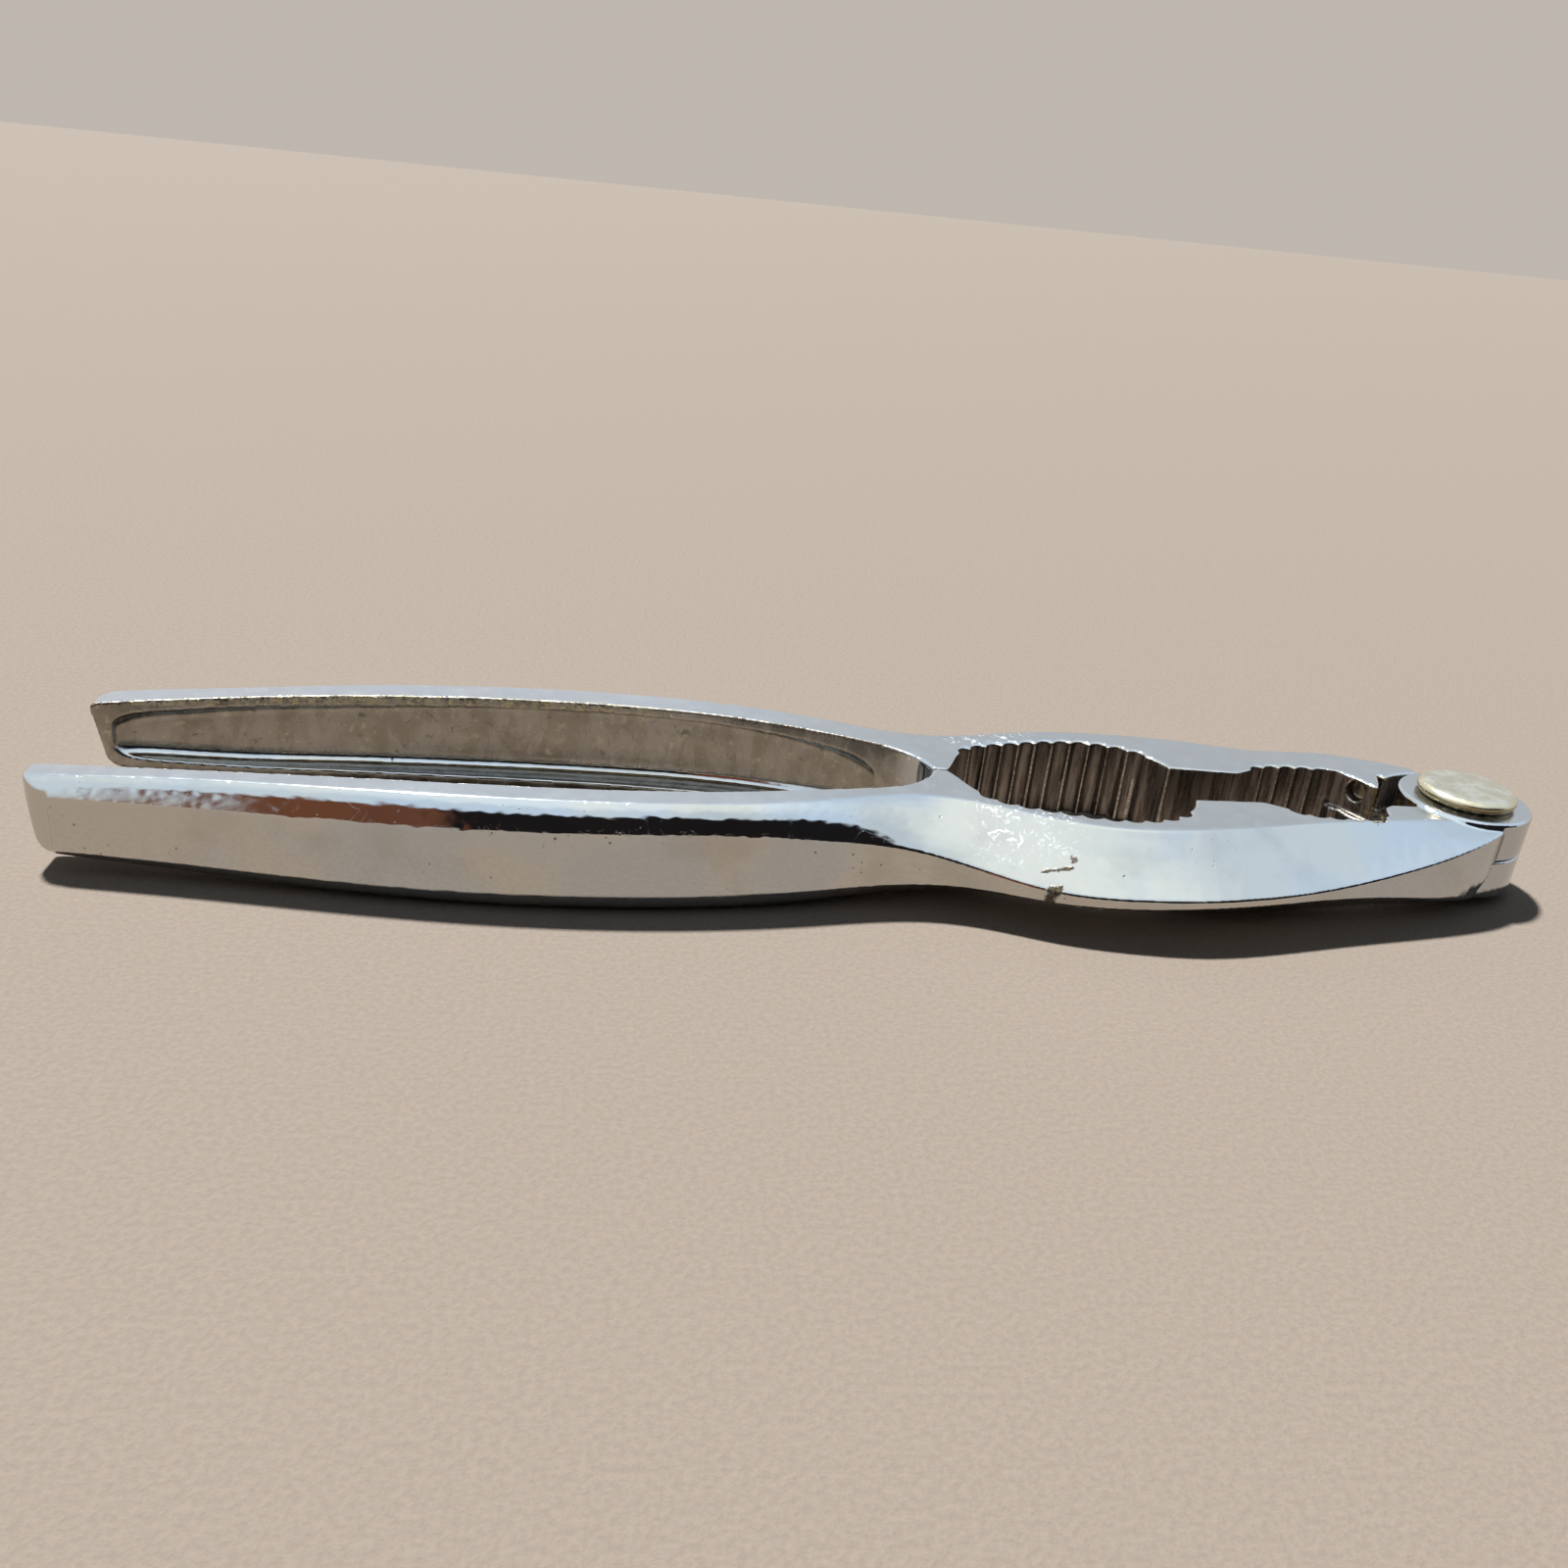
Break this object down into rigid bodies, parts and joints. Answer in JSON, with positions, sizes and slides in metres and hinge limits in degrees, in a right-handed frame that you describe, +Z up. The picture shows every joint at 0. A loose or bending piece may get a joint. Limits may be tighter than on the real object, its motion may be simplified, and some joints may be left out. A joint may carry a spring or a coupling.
{
  "type": "nutcracker",
  "caption": "Chrome lever nutcracker: cast levers on a riveted half-lap hinge, with a large and a small fluted jaw between them and hollow-backed handles.",
  "frame": {"origin": "middle of the underside of the closed tool, level with the flat of the rivet tail it rests on", "axes": "+X along the closed levers towards the hinge, +Y from the near lever to the far lever, +Z up along the hinge axis towards the rivet head"},
  "size_m": [0.18, 0.0424, 0.0137],
  "materials": {
    "lever_chrome": "bright plated die casting, worn",
    "rivet_metal": "satin, warm nickel tone",
    "washer_metal": "satin, brassy and tarnished"
  },
  "bodies": {
    "near_side": {"near_lever": "lever_chrome", "rivet": "rivet_metal", "head_washer": "washer_metal", "tail_washer": "washer_metal"},
    "far_side": {"far_lever": "lever_chrome"}
  },
  "joints": [
    {"name": "lever_hinge", "type": "hinge", "parent": "near_side", "child": "far_side", "pos_m": [0.0819, 0, 0.00645], "axis": [0, 0, -1], "range_deg": [0, 140]}
  ]
}
